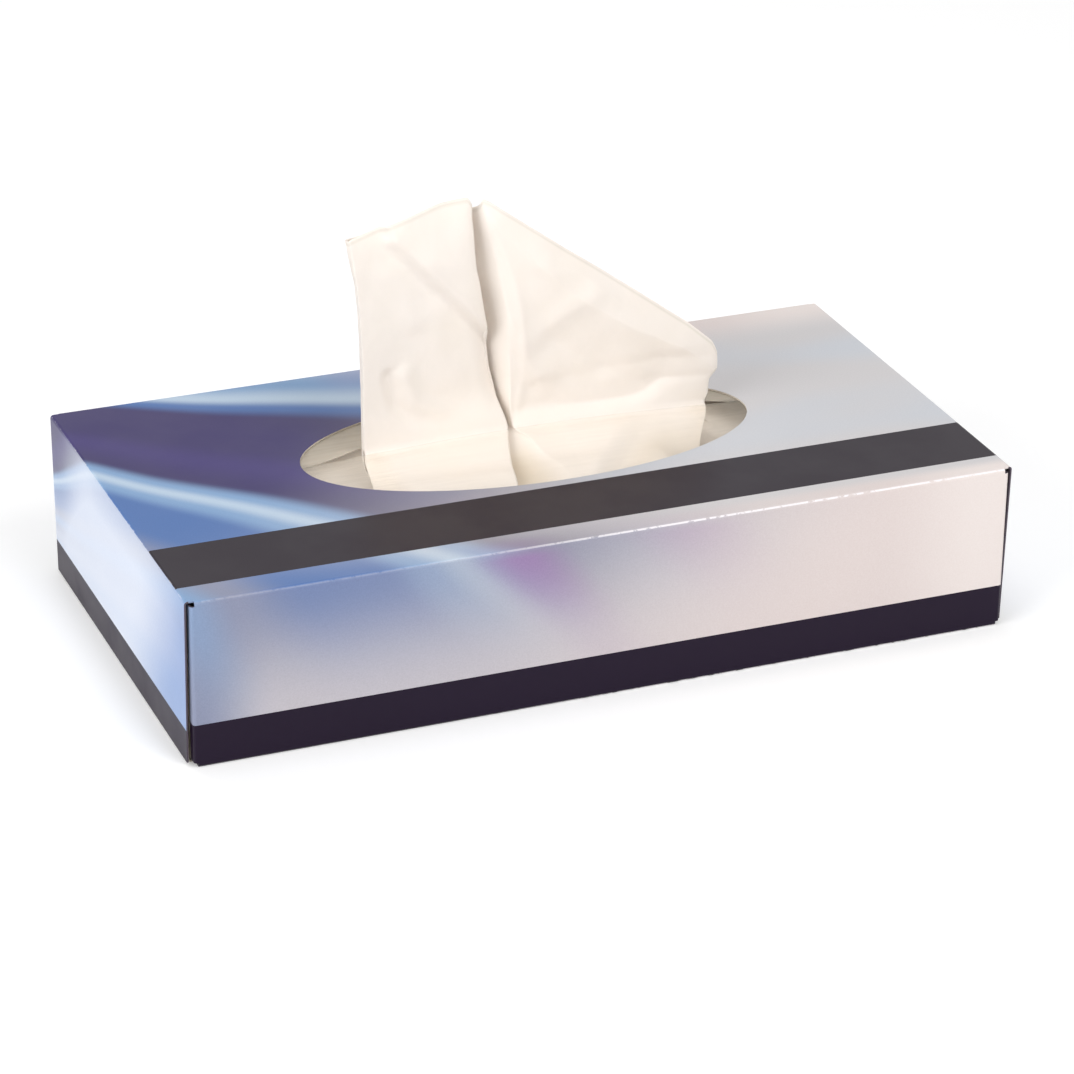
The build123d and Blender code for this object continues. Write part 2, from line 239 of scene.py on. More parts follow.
class NodeTree:
    """Node tree of one material or world. Each method adds nodes, feeds them and returns an output."""

    def __init__(self, owner):
        self.owner = owner
        self.owner.use_nodes = True
        self.tree = self.owner.node_tree
        self.tree.nodes.clear()

    def feed(self, socket, value):
        if isinstance(value, bpy.types.NodeSocket):
            self.tree.links.new(value, socket)
        elif value is not None:
            socket.default_value = value

    def node(self, kind, inputs=None, **settings):
        made = self.tree.nodes.new(kind)
        for key, value in settings.items():
            setattr(made, key, value)
        for key, value in (inputs or {}).items():
            self.feed(made.inputs[key], value)
        return made

    def math(self, operation, first, second=None, third=None, clamp=False):
        made = self.node("ShaderNodeMath", operation=operation, use_clamp=clamp)
        for socket, value in zip(made.inputs, (first, second, third)):
            self.feed(socket, value)
        return made.outputs[0]

    def chain(self, operation, first, *others):
        for other in others:
            first = self.math(operation, first, other)
        return first

    def times(self, *values):
        return self.chain("MULTIPLY", *values)

    def most(self, *values):
        return self.chain("MAXIMUM", *values)

    def plus(self, first, second):
        return self.math("ADD", first, second)

    def minus(self, first, second):
        return self.math("SUBTRACT", first, second)

    def over(self, value, limit):
        """1 where the value is over the limit, and 0 elsewhere."""
        return self.math("GREATER_THAN", value, limit)

    def under(self, value, limit):
        """1 where the value is under the limit, and 0 elsewhere."""
        return self.math("LESS_THAN", value, limit)

    def vector(self, operation, first, second=None):
        made = self.node("ShaderNodeVectorMath", operation=operation)
        self.feed(made.inputs[0], first)
        self.feed(made.inputs[1], second)
        return made.outputs["Value"] if operation in ("LENGTH", "DOT_PRODUCT") else made.outputs[0]

    def scaled(self, place, factors):
        return self.vector("MULTIPLY", place, factors)

    def split(self, vector):
        return self.node("ShaderNodeSeparateXYZ", {0: vector}).outputs

    def join(self, x, y, z=0.0):
        return self.node("ShaderNodeCombineXYZ", {0: x, 1: y, 2: z}).outputs[0]

    def mix(self, share, first, second, blend="MIX"):
        made = self.node("ShaderNodeMix", data_type="RGBA", blend_type=blend)
        for key, value in ((0, share), (6, first), (7, second)):
            self.feed(made.inputs[key], value)
        return made.outputs[2]

    def ramp(self, value, stops, style="EASE"):
        made = self.node("ShaderNodeValToRGB", {0: value})
        made.color_ramp.interpolation = style
        points = made.color_ramp.elements
        while len(points) < len(stops):
            points.new(0.5)
        for point, (place, colour) in zip(points, stops):
            point.position = place
            point.color = colour
        return made.outputs[0]

    def span(self, value, low, high, out_low=0.0, out_high=1.0, soft=True):
        style = "SMOOTHSTEP" if soft else "LINEAR"
        made = self.node("ShaderNodeMapRange", interpolation_type=style)
        for key, number in enumerate((value, low, high, out_low, out_high)):
            self.feed(made.inputs[key], number)
        return made.outputs[0]

    def noise(self, place, scale, detail=2.0, roughness=0.5):
        inputs = {"Vector": place, "Scale": scale, "Detail": detail, "Roughness": roughness}
        return self.node("ShaderNodeTexNoise", inputs).outputs[0]

    def bump(self, height, strength, distance, normal=None):
        inputs = {"Height": height, "Strength": strength, "Distance": distance, "Normal": normal}
        return self.node("ShaderNodeBump", inputs).outputs[0]

    def place(self):
        """Position in the model's frame, in millimetres."""
        position = self.node("ShaderNodeNewGeometry").outputs["Position"]
        return self.scaled(position, (1 / MM,) * 3)

    def stored(self, name):
        """The number that store_numbers has put at each point under this name."""
        return self.node("ShaderNodeAttribute", attribute_name=name).outputs["Fac"]

    def background_rays(self):
        """The three kinds of ray that see the pale background: camera, glossy and transmitted."""
        path = self.node("ShaderNodeLightPath").outputs
        return [path[kind] for kind in ("Is Camera Ray", "Is Glossy Ray", "Is Transmission Ray")]

    def principled(self, inputs):
        return self.node("ShaderNodeBsdfPrincipled", inputs).outputs[0]

    def translucent(self, colour, normal):
        return self.node("ShaderNodeBsdfTranslucent", {"Color": colour, "Normal": normal}).outputs[0]

    def blend(self, share, first, second):
        return self.node("ShaderNodeMixShader", {0: share, 1: first, 2: second}).outputs[0]

    def finish(self, shader):
        self.node("ShaderNodeOutputMaterial", {"Surface": shader})
        return self.owner


def unit_grey(value):
    """Grey colour for a ramp that holds plain numbers."""
    return (value, value, value, 1.0)


# Colours of the print, from the photograph
indigo = srgb(50, 40, 92)
violet = srgb(58, 46, 106)
mid_blue = srgb(76, 110, 166)
light_blue = srgb(126, 158, 196)
pale_blue = srgb(182, 200, 218)
pale_grey = srgb(200, 197, 198)
silver = srgb(176, 178, 192)
lavender = srgb(192, 186, 190)
dusk = srgb(134, 139, 162)
blush = srgb(148, 118, 162)
cream = srgb(214, 202, 199)
end_pale = srgb(215, 221, 234)
end_blue = srgb(138, 160, 202)
far_cream = srgb(226, 216, 212)
plum = srgb(22, 8, 24)
foot_plum = srgb(22, 6, 32)
dark_fibre = srgb(188, 180, 168)
bare_board = srgb(214, 206, 194)
pale_fibre = srgb(228, 222, 212)
worn_ink = srgb(240, 236, 238)
# Painted shade for the bare board in the slots by the upright corners
slot_painted_shade = srgb(84, 76, 86)

# Bands of the print, in millimetres
top_band = (-51.0, -28.7)
front_band = 11.7
end_band = 9.6

# An outer face lies this far past the box's core and faces out by this much or more
skin_reach = 0.12
facing_out = 0.6

# Reach of the print's bend round each upright corner, and its least distance in from the end's face
corner_reach = 3.0
corner_inset = 1.1

# Stretch of the print down the two ends
end_stretch = 1.85

# Soft satin streaks fan out over the blank from one far point: colour over the angle, in degrees
fan_x = -186.0
fan_y = 104.0
fan_stops = [
    (-96.0, light_blue), (-87.0, pale_blue), (-80.0, light_blue), (-75.0, silver), (-70.0, dusk),
    (-66.0, light_blue), (-62.5, dusk), (-57.5, mid_blue), (-52.6, mid_blue), (-50.2, light_blue),
    (-48.4, pale_blue), (-46.8, light_blue), (-44.6, indigo), (-39.5, violet), (-35.0, indigo),
    (-27.2, indigo), (-24.6, mid_blue), (-22.4, pale_blue), (-19.0, light_blue), (-14.0, pale_blue),
    (-9.0, light_blue), (-4.0, pale_blue), (0.0, mid_blue), (4.0, light_blue), (9.0, silver),
    (14.0, mid_blue),
]


def fan_print(tree, u, v):
    """Satin streaks that fan out over the unfolded blank and run out at the right of the top."""
    drift = tree.noise(tree.join(u, v), 0.012, 1.0)
    away_x = tree.minus(u, fan_x)
    away_y = tree.minus(v, fan_y)
    turn = tree.times(tree.math("ARCTAN2", away_y, away_x), 180 / math.pi)
    turn = tree.plus(turn, tree.span(drift, 0.3, 0.7, -0.9, 0.9, soft=False))
    low, high = fan_stops[0][0], fan_stops[-1][0]
    stops = [((angle - low) / (high - low), colour) for angle, colour in fan_stops]
    ink = tree.ramp(tree.span(turn, low, high, soft=False), stops)

    # The right of the top is pale grey with one faint blue veil
    reach = tree.vector("LENGTH", tree.join(away_x, away_y))
    kept = tree.span(v, -44.0, -62.0, 0.0, 34.0)
    faded = tree.span(tree.minus(reach, kept), 150.0, 262.0)
    veil = tree.noise(tree.join(tree.times(u, 0.35), v), 0.028, 1.0)
    field = tree.mix(tree.span(veil, 0.42, 0.66, 0.0, 0.3), pale_grey, pale_blue)
    return tree.mix(faded, ink, field)


def end_print(tree, ink, v, depth, is_end):
    """The ends turn pale downwards and towards the front, and bluer low at the front."""
    down = tree.times(tree.span(depth, -9.0, 26.0), tree.span(v, 58.0, 26.0, 0.2, 0.8))
    toward_front = tree.span(v, 54.0, 20.0, 0.0, 0.55)
    deep = tree.span(depth, 12.0, 34.0, 0.0, 0.6)
    faded = tree.math("ADD", tree.plus(down, toward_front), deep, clamp=True)
    low_front = tree.math("MULTIPLY_ADD", depth, -0.6, v)
    pale = tree.mix(tree.span(low_front, -24.0, -68.0), end_pale, end_blue)
    return tree.mix(tree.times(faded, 0.9, is_end), ink, pale)


def side_print(tree, ink, u, v, depth, is_side, is_end):
    """The long sides are dusky with two violet veils, and turn to cream towards the right."""
    ink = tree.mix(tree.times(is_side, 0.5), ink, dusk)
    foot = tree.times(tree.span(depth, 2.0, 38.0), is_side, 0.9)
    ink = tree.mix(foot, ink, tree.mix(tree.span(u, -108.0, -88.0), dusk, lavender))
    middle = tree.math("MULTIPLY_ADD", depth, -0.85, u)
    off_left = tree.math("ABSOLUTE", tree.plus(middle, 27.0))
    off_right = tree.math("ABSOLUTE", tree.minus(middle, 20.0))
    left_veil = tree.span(off_left, 16.0, 1.0)
    right_veil = tree.span(off_right, 22.0, 2.0, 0.0, 0.6)
    fades_down = tree.span(depth, 0.0, 28.0, 0.85, 0.2)
    below_fold = tree.span(depth, 0.0, 3.0, 0.3, 1.0)
    veils = tree.times(tree.most(left_veil, right_veil), fades_down, below_fold)
    side_ink = tree.mix(veils, ink, blush)
    toward_right = tree.math("MULTIPLY_ADD", depth, 0.75, u)
    right_ink = tree.mix(tree.span(u, 72.0, 104.0), cream, far_cream)
    side_ink = tree.mix(tree.span(toward_right, -22.0, 84.0), side_ink, right_ink)
    near_side = tree.most(tree.span(v, -52.0, -57.0), tree.span(v, 40.0, 58.0))
    return tree.mix(tree.times(near_side, tree.minus(1.0, is_end)), ink, side_ink)


def dark_bands(tree, ink, y, z, is_side, is_end):
    """Plain dark bands: one along the top panel, one along the foot of each side."""
    in_band = tree.times(tree.over(y, top_band[0]), tree.under(y, top_band[1]))
    on_top = tree.times(in_band, tree.over(z, carton_height - board / 2))
    side_foot = tree.times(tree.under(z, front_band), is_side)
    end_foot = tree.times(tree.under(z, end_band), is_end)
    foot = tree.most(side_foot, end_foot, tree.under(z, fold_radius / 2))
    return tree.mix(foot, tree.mix(on_top, ink, plum), foot_plum)


def worn_folds(tree, ink, place, beyond):
    """Ink worn thin along the folds, most of all at the front right."""
    beyond_x, beyond_y, beyond_z = beyond
    over_side = tree.span(tree.math("MINIMUM", beyond_y, beyond_z), 0.36, 0.52)
    over_end = tree.span(tree.math("MINIMUM", beyond_x, beyond_z), 0.4, 0.6)
    broken = tree.noise(place, 0.5, 3.0, 0.7)
    toward_right = tree.span(tree.split(place)[0], -50.0, 20.0, 0.1, 0.9)
    side_line = tree.times(tree.span(broken, 0.36, 0.5), toward_right)
    end_line = tree.span(broken, 0.5, 0.7, 0.0, 0.35)
    worn = tree.most(tree.times(over_side, side_line), tree.times(over_end, end_line))
    return tree.mix(worn, ink, worn_ink)


def carton_material():
    """Semi-gloss print outside, bare grey-white board inside and on every cut edge, painted dark as shade
    in the slots by the upright corners.
    """
    tree = NodeTree(bpy.data.materials.new("printed_board"))
    place = tree.place()
    x, y, z = tree.split(place)

    # Outer faces: on the skin of the rounded box, and facing away from it
    centre = (0.0, 0.0, carton_height / 2)
    core = (half_length - fold_radius, half_depth - fold_radius, carton_height / 2 - fold_radius)
    off_centre = tree.vector("SUBTRACT", place, centre)
    from_centre = tree.vector("ABSOLUTE", off_centre)
    true_normal = tree.node("ShaderNodeNewGeometry").outputs["True Normal"]
    normal = tree.scaled(true_normal, tree.vector("SIGN", off_centre))
    past_core = tree.vector("SUBTRACT", from_centre, core)
    past_core = tree.vector("MAXIMUM", past_core, (0.0, 0.0, 0.0))
    outward = tree.vector("DOT_PRODUCT", tree.vector("NORMALIZE", past_core), normal)
    on_skin = tree.over(tree.vector("LENGTH", past_core), skin_reach)
    printed = tree.times(on_skin, tree.over(outward, facing_out))
    beyond = tree.split(past_core)
    is_end = tree.over(beyond[0], tree.most(beyond[1], beyond[2]))
    is_side = tree.over(beyond[1], tree.most(beyond[0], beyond[2]))

    # By each upright corner the side's print bends in behind the end's flap and darkens the slot as painted
    # shade, and the slot's bare edges are painted dark as shade
    from_x, from_y = tree.split(from_centre)[:2]
    out_x, out_y = tree.split(normal)[:2]
    by_side = tree.over(from_y, half_depth - corner_reach)
    by_end = tree.over(from_x, half_length - corner_reach)
    slot_edge = tree.times(by_side, by_end)
    inside = tree.under(from_x, half_length - corner_inset)
    bends_out = tree.over(tree.plus(out_x, out_y), facing_out)
    folded_in = tree.times(slot_edge, inside, bends_out)
    printed = tree.most(printed, folded_in)
    is_side = tree.most(is_side, folded_in)

    # Place on the unfolded blank, which runs on from the top panel over its four folds
    depth = tree.minus(carton_height, z)
    slide_x = tree.times(tree.math("SIGN", x), tree.times(depth, is_end))
    slide_y = tree.times(tree.math("SIGN", y), tree.times(depth, is_side))
    u = tree.math("MULTIPLY_ADD", slide_x, end_stretch, x)
    v = tree.plus(y, slide_y)
    ink = fan_print(tree, u, v)
    ink = end_print(tree, ink, v, depth, is_end)
    ink = side_print(tree, ink, u, v, depth, is_side, is_end)
    ink = dark_bands(tree, ink, y, z, is_side, is_end)
    ink = worn_folds(tree, ink, place, beyond)

    # Fine grain of the print, and the fibres of the bare board
    grain = tree.noise(place, 2.4, 3.0, 0.7)
    speck = tree.ramp(grain, [(0.3, unit_grey(0.36)), (0.7, unit_grey(0.64))], "LINEAR")
    ink = tree.mix(0.22, ink, speck, "OVERLAY")
    fibre = tree.noise(tree.scaled(place, (0.8, 0.8, 5.0)), 2.2, 4.0, 0.7)
    fibres = tree.ramp(fibre, [(0.3, dark_fibre), (0.65, bare_board), (1.0, pale_fibre)])
    # The bare board in the slots by the upright corners is painted dark as shade
    fibres = tree.mix(slot_edge, fibres, slot_painted_shade)
    gloss = tree.span(tree.noise(place, 0.05, 3.0), 0.3, 0.7, 0.34, 0.42)
    slow = tree.bump(tree.noise(place, 0.018, 1.0), 0.25, 0.0012)
    inputs = {
        "Base Color": tree.mix(printed, fibres, ink),
        "Roughness": tree.mix(printed, unit_grey(0.85), gloss),
        "Normal": tree.bump(grain, 0.1, 0.00006, slow),
        "Specular IOR Level": 0.2,
    }
    return tree.finish(tree.principled(inputs))


def tissue_material():
    """Soft matt two-ply tissue: fine crepe, very faint clouds and a little light let through."""
    tree = NodeTree(bpy.data.materials.new("tissue_sheet"))
    sheet = tree.node("ShaderNodeUVMap", uv_map="sheet").outputs[0]
    place = tree.place()
    cloud = tree.noise(place, 0.05, 3.0, 0.6)
    colour = tree.mix(cloud, srgb(254, 246, 236), srgb(254, 247, 241))
    colour = tree.mix(tree.times(tree.stored("rim"), 0.3), colour, srgb(206, 202, 184))
    # Painted shade: a warm tan on the layers under the film, in the pleat and right of its fold
    colour = tree.mix(tree.stored("painted_tuck_shade"), colour, srgb(226, 210, 182))
    crepe = tree.noise(tree.scaled(sheet, (0.5, 2.6, 1.0)), 1.0, 3.0, 0.6)
    fluff = tree.noise(place, 1.6, 4.0, 0.65)
    slow = tree.bump(tree.noise(place, 0.09, 3.0, 0.6), 0.3, 0.0012)
    crepe_bump = tree.bump(crepe, 0.2, 0.00016, slow)
    normal = tree.bump(fluff, 0.16, 0.00012, crepe_bump)
    inputs = {"Base Color": colour, "Normal": normal, "Roughness": 0.9, "Specular IOR Level": 0.2}
    inputs.update({"Sheen Weight": 0.12, "Sheen Roughness": 0.6})
    let_through = 0.16
    mixed = tree.blend(let_through, tree.principled(inputs), tree.translucent(colour, normal))
    return tree.finish(mixed)


def stack_material():
    """The same tissue in its folded stack, with fine lines of leaf edges down the sides."""
    tree = NodeTree(bpy.data.materials.new("folded_tissue"))
    place = tree.place()
    cloud = tree.noise(place, 0.06, 3.0, 0.6)
    leaves = tree.noise(tree.scaled(place, (0.02, 0.02, 3.5)), 1.0, 2.0, 0.6)
    colour = tree.mix(cloud, srgb(240, 232, 220), srgb(248, 242, 232))
    colour = tree.mix(tree.span(leaves, 0.45, 0.3, 0.0, 0.35), colour, srgb(206, 196, 180))
    normal = tree.bump(leaves, 0.5, 0.0003, tree.bump(cloud, 0.3, 0.0015))
    inputs = {"Base Color": colour, "Normal": normal, "Roughness": 0.92, "Specular IOR Level": 0.2}
    inputs["Sheen Weight"] = 0.12
    return tree.finish(tree.principled(inputs))


def film_material():
    """Thin clear film, faintly milky, with lengthwise streaks and whitened lips."""
    tree = NodeTree(bpy.data.materials.new("clear_film"))
    place = tree.place()
    streak = tree.noise(tree.scaled(place, (0.03, 0.8, 0.8)), 1.0, 2.0, 0.6)
    edge = tree.stored("lip")
    calm = tree.span(tree.stored("resting"), 0.0, 1.0, 1.0, 0.4)
    milk = tree.times(tree.span(streak, 0.3, 0.75, 0.15, 0.19), calm)
    behind = tree.span(tree.split(place)[1], slit_y - 1.0, slit_y + 3.0, 0.0, 0.2)
    milk = tree.math("MULTIPLY_ADD", edge, 0.14, tree.plus(milk, behind), clamp=True)
    normal = tree.bump(streak, 0.05, 0.0003)
    colour = tree.mix(edge, srgb(248, 240, 226), srgb(252, 250, 246))
    inputs = {"Base Color": colour, "Normal": normal, "Roughness": 0.24, "IOR": 1.45}
    let_through = 0.45
    haze = tree.blend(let_through, tree.principled(inputs), tree.translucent(colour, normal))
    clear = tree.node("ShaderNodeBsdfTransparent").outputs[0]
    return tree.finish(tree.blend(milk, clear, haze))


# Film: its mesh, how far it waves and sags where it hangs free, and how ragged its lips are
film_columns = 240
film_rows = 60
film_sheet = film_thickness * 0.6
film_wave = 0.2
film_sag = 0.16
ragged_up = 0.15
ragged_across = 0.2


def film_half(side, lip, border):
    """Half of the film, from its border to one lip. side is -1 for the front and 1 for the back.

    Returns its points, how far each is whitened, and how firmly each rests on the tissue.
    """
    x = np.linspace(film_low[0], film_high[0], film_columns)
    lip_y, lip_z = lip(x)
    y = border + (lip_y - border) * np.linspace(0, 1, film_rows)[:, None] ** 0.7
    tent = ease(1 - (y - lip_y) * side / tent_reach)
    z = film_mid + (lip_z - film_mid) * tent
    grid = np.stack([np.broadcast_to(x, y.shape), y, z], -1)
    in_window = ((grid[..., 0] - window_x) / window_half_length) ** 2
    in_window = in_window + ((grid[..., 1] - window_y) / window_half_width) ** 2
    loose = ease((0.98 - in_window) / 0.35)
    resting = ease((x - left_x) / 8.0) * ease((right_x - x) / 8.0) * (side < 0)
    calm = 1 - 0.7 * resting
    wave = soft_noise(grid * [0.14, 1.0, 1.0], 4.2, 3 + side)
    grid[..., 2] += film_wave * wave * loose * calm - film_sag * loose * (1 - tent)
    parted = slit_share(x) > 0
    ragged = soft_noise(grid * [1.0, 0.2, 0.2], 9.0, 7 + side) * tent ** 6 * parted
    grid[..., 2] += ragged_up * ragged * calm
    grid[..., 1] += ragged_across * ragged * calm
    whitened = ease((tent * slit_share(x) ** 0.2 - 0.93) / 0.07) * (1 - 0.85 * resting)
    return grid, whitened, np.broadcast_to(resting, whitened.shape)


def make_film():
    """The film: a flat border under the panel, and two tents that rise to the lips of the slit."""
    halves = []
    for name, side, lip, border in (
        ("window_film", -1, front_lip, film_low[1]),
        ("window_film_back", 1, back_lip, film_high[1]),
    ):
        grid, whitened, resting = film_half(side, lip, border)
        half = grid_object(name, grid)
        store_numbers(half, {"lip": whitened, "resting": resting})
        halves.append(half)
    film, back = halves
    with editing(film.data) as shape:
        shape.from_mesh(back.data)
    bpy.data.objects.remove(back)
    weld(film, 0.02)
    thicken(film, film_sheet)
    dress(film, film_material())
    return film


# Stack: bundles of folded edges, how far they bulge and sway in and out, and how far the top sags
bundles = 23
bundle_steps = 6
stack_stations = 90
side_inset = 0.8
bundle_bulge = 0.75
side_sway = 0.5
top_sag = 0.45


def stack_ring():
    """Outline of the stack (y, z): up its back, over the top, down the front and back under it."""
    low, high = stack_low[2], stack_high[2]
    side_y = stack_high[1] - side_inset
    rise = np.linspace(0, bundles, bundles * bundle_steps + 1)
    bulge = bundle_bulge * np.abs(np.sin(np.pi * rise)) ** 0.6
    back = np.stack([side_y + bulge, low + (high - low) * rise / bundles], -1)
    front = back[::-1] * np.array([-1.0, 1.0])
    across = np.linspace(1, -1, 61)[1:-1]
    top = np.stack([across * side_y, np.full(len(across), high)], -1)
    floor = np.stack([-across * side_y, np.full(len(across), low)], -1)
    return np.concatenate([back, top, front, floor])


def make_stack():
    """The stack: soft bundles of folded edges on its long sides and a slightly pillowed top."""
    ring = stack_ring()
    grid = np.zeros((stack_stations, len(ring), 3))
    grid[..., 0] = np.linspace(stack_low[0], stack_high[0], stack_stations)[:, None]
    grid[..., 1:] = ring
    on_side = np.abs(grid[..., 1]) > stack_high[1] - 2
    sway = soft_noise(grid * [0.5, 0.0, 1.0], 9.0, 5)
    grid[..., 1] -= np.sign(grid[..., 1]) * side_sway * (1 + sway) * on_side
    on_top = grid[..., 2] > stack_high[2] - 0.01
    sag = soft_noise(grid * [0.35, 1.0, 0.0], 12.0, 9)
    grid[..., 2] -= on_top * top_sag * (1 + sag)
    stack = grid_object("folded_tissues", np.concatenate([grid, grid[:, :1]], 1))
    weld(stack, 0.001)
    with editing(stack.data) as shape:
        bmesh.ops.holes_fill(shape, edges=[edge for edge in shape.edges if edge.is_boundary])
        bmesh.ops.recalc_face_normals(shape, faces=shape.faces)
        for face in shape.faces:
            face.smooth = len(face.verts) == 4
    dress(stack, stack_material())
    return stack


# Fold lines of the standing tissue as (x, y, z), listed upwards. The sheet runs from a margin folded
# behind the left panel, over that panel, into the deep pleat and out, to a margin behind the right panel.
panel_y = slit_y + 0.2
peak_z = tissue_high[2]
low_z = film_mid - 1.0
above_peak = peak_z + 4.0


def fold_from(base_x, points):
    """Fold line (x, y, z) from points given as (right of base_x, behind the panels, z)."""
    return [(base_x + right, panel_y + behind, z) for right, behind, z in points]


left_margin = fold_from(left_x, [
    (18.8, 3.2, low_z), (17.6, 4.6, 57.0), (18.9, 3.6, 70.0), (18.2, 5.0, 83.0), (16.9, 4.2, 96.0),
    (17.8, 4.6, above_peak),
])
left_fold_back = fold_from(left_x, [
    (0.5, 2.6, low_z), (-0.2, 2.4, 69.0), (-0.9, 2.2, 86.0), (-1.6, 2.4, 94.0), (-3.6, 2.6, 104.5),
    (-4.2, 2.6, above_peak),
])
left_fold = fold_from(left_x, [
    (0.0, 0.0, low_z), (0.0, 0.0, 69.0), (-0.7, 0.0, 84.0), (-1.5, 0.1, 93.0), (-3.1, 0.4, 104.8),
    (-3.8, 0.6, above_peak),
])
left_lip = fold_from(pleat_x, [
    (-0.8, 0.0, low_z), (-0.6, 0.0, 48.4), (-4.4, 0.0, 63.7), (-5.9, 0.0, 76.0), (-9.0, -0.2, 92.3),
    (-10.7, -0.5, 106.0), (-11.0, -0.7, above_peak),
])
left_deep = fold_from(pleat_x, [
    (-2.4, 5.8, low_z), (-2.4, 6.6, 48.4), (-6.8, 8.4, 63.7), (-9.6, 9.6, 76.0), (-14.6, 11.4, 92.3),
    (-18.6, 12.8, above_peak),
])
right_deep = fold_from(pleat_x, [
    (-1.2, 6.0, low_z), (-1.2, 6.9, 48.4), (-5.2, 9.0, 63.7), (-8.0, 10.4, 76.0),
    (-13.0, 12.4, 92.3), (-17.0, 13.9, above_peak),
])
right_lip = fold_from(pleat_x, [
    (0.8, 0.0, low_z), (0.5, 0.0, 48.0), (-0.2, -0.4, 67.5), (-1.8, -0.8, 81.5), (-3.8, -0.8, 91.6),
    (-7.6, -0.7, 107.0), (-8.7, -0.6, above_peak),
])
right_fold = fold_from(right_x, [
    (0.0, 0.0, low_z), (2.4, 0.3, 48.1), (2.9, 0.5, 52.0), (5.3, 0.9, 54.4), (5.2, 1.0, 58.6),
    (5.6, 1.2, 66.0), (6.0, 1.4, above_peak),
])
right_fold_back = fold_from(right_x, [
    (-0.4, 1.8, low_z), (2.1, 2.1, 48.1), (2.7, 2.3, 52.0), (5.1, 2.7, 54.4), (5.1, 2.8, 58.6),
    (5.4, 3.0, 66.0), (5.8, 3.4, above_peak),
])
right_margin = fold_from(right_x, [
    (-15.5, 3.0, low_z), (-16.5, 4.0, 60.0), (-18.5, 5.6, above_peak),
])

# Free edge of the front panels as (x, z), and how it falls towards the pleat's inner fold
left_free_edge = [
    (-60.0, 101.0), (-45.9, 104.8), (-36.7, 107.9), (-22.2, 111.9), (-14.8, peak_z), (-13.2, 109.9),
]
right_free_edge = [
    (-11.6, 109.8), (-11.0, 111.9), (-8.8, 110.8), (11.4, 95.8), (23.0, 87.5), (38.7, 75.8),
    (47.4, 69.4), (54.8, 62.9), (56.6, 59.4), (60.0, 56.0),
]
pleat_edge_z = 109.8
pleat_edge_fall = 0.52


def edge_of(points):
    """Height of the free edge over x, through these points."""
    return lambda x, y: height_over(points, x)


def pleat_edge(x, y):
    """The pleat's free edge falls as it runs back, so that it hides behind its own mouth."""
    return pleat_edge_z - pleat_edge_fall * (y - panel_y)


def sloped_edge(start_x, start_z, slope):
    """Free edge that runs straight from this place."""
    return lambda x, y: start_z + slope * (x - start_x)


# The margins' free edges stay hidden behind the panels
left_margin_edge = sloped_edge(left_x, 104.6, 0.10)
right_margin_edge = sloped_edge(right_x + 5.0, 58.8, -0.12)

# Strips of the sheet between two fold lines: columns, and the free edge above them
strips = [
    (left_margin, left_fold_back, 22, left_margin_edge),
    (left_fold_back, left_fold, 5, left_margin_edge),
    (left_fold, left_lip, 64, edge_of(left_free_edge)),
    (left_lip, left_deep, 15, pleat_edge),
    (left_deep, right_deep, 3, pleat_edge),
    (right_deep, right_lip, 15, pleat_edge),
    (right_lip, right_fold, 84, edge_of(right_free_edge)),
    (right_fold, right_fold_back, 5, right_margin_edge),
    (right_fold_back, right_margin, 18, right_margin_edge),
]

# Numbers of the strips that are the two front panels
left_panel = 2
right_panel = 6

# Diagonal crease of the left panel, and the line from which the right panel slopes to the lip
diagonal_crease = [(-34.5, 104.0), (-31.7, 101.0), (-20.0, 88.8), (-8.2, 75.5)]
foot_line = [
    (-2.4, 49.6), (2.2, 51.8), (18.5, 49.9), (32.0, 50.0), (35.8, 51.2), (40.6, 54.2), (53.8, 53.4),
]

# Creases pressed into the front panels: points (x, z), how far forward, and the reach above and below
creases = [
    (diagonal_crease, 2.3, 16.0, 3.2),
    ([(-24.0, 97.0), (-16.0, 94.0), (-11.0, 89.0)], 0.6, 7.0, 5.0),
    ([(-9.3, 107.0), (-2.6, 90.0), (0.4, 76.0), (0.9, 60.0), (-0.9, 49.0)], 0.75, 2.6, 1.4),
    ([(-7.3, 105.1), (2.0, 95.0), (14.0, 82.6), (30.0, 71.5), (46.1, 62.6), (56.8, 54.1)], 3.4, 12.0, 13.0),
    ([(-4.1, 81.3), (0.5, 70.0), (4.4, 60.2)], 1.5, 8.0, 3.2),
    ([(3.0, 71.0), (12.0, 78.0), (20.0, 82.0)], 0.7, 5.0, 5.0),
    (foot_line, -1.1, 9.0, 4.0),
    ([(4.4, 58.0), (20.0, 59.0), (39.1, 60.5), (54.1, 59.1)], -0.5, 3.5, 4.0),
    ([(-36.0, 66.0), (-34.0, 58.0), (-30.0, 52.5), (-22.0, 50.5)], -1.5, 3.0, 2.6),
    ([(-31.5, 66.0), (-28.5, 58.0), (-22.0, 54.0)], 1.0, 4.0, 3.0),
    ([(-36.0, 94.0), (-31.0, 88.0), (-29.0, 80.0)], 0.45, 4.0, 4.0),
    ([(-24.0, 82.0), (-21.0, 70.0), (-15.0, 60.0)], 0.5, 5.0, 6.0),
    ([(6.0, 92.0), (16.0, 88.0), (26.0, 80.0)], 0.5, 3.0, 4.0),
]


def fold_at(fold, z):
    """Places (x, y) where a fold line passes the heights z."""
    line = np.array(fold)
    return np.interp(z, line[:, 2], line[:, 0]), np.interp(z, line[:, 2], line[:, 1])


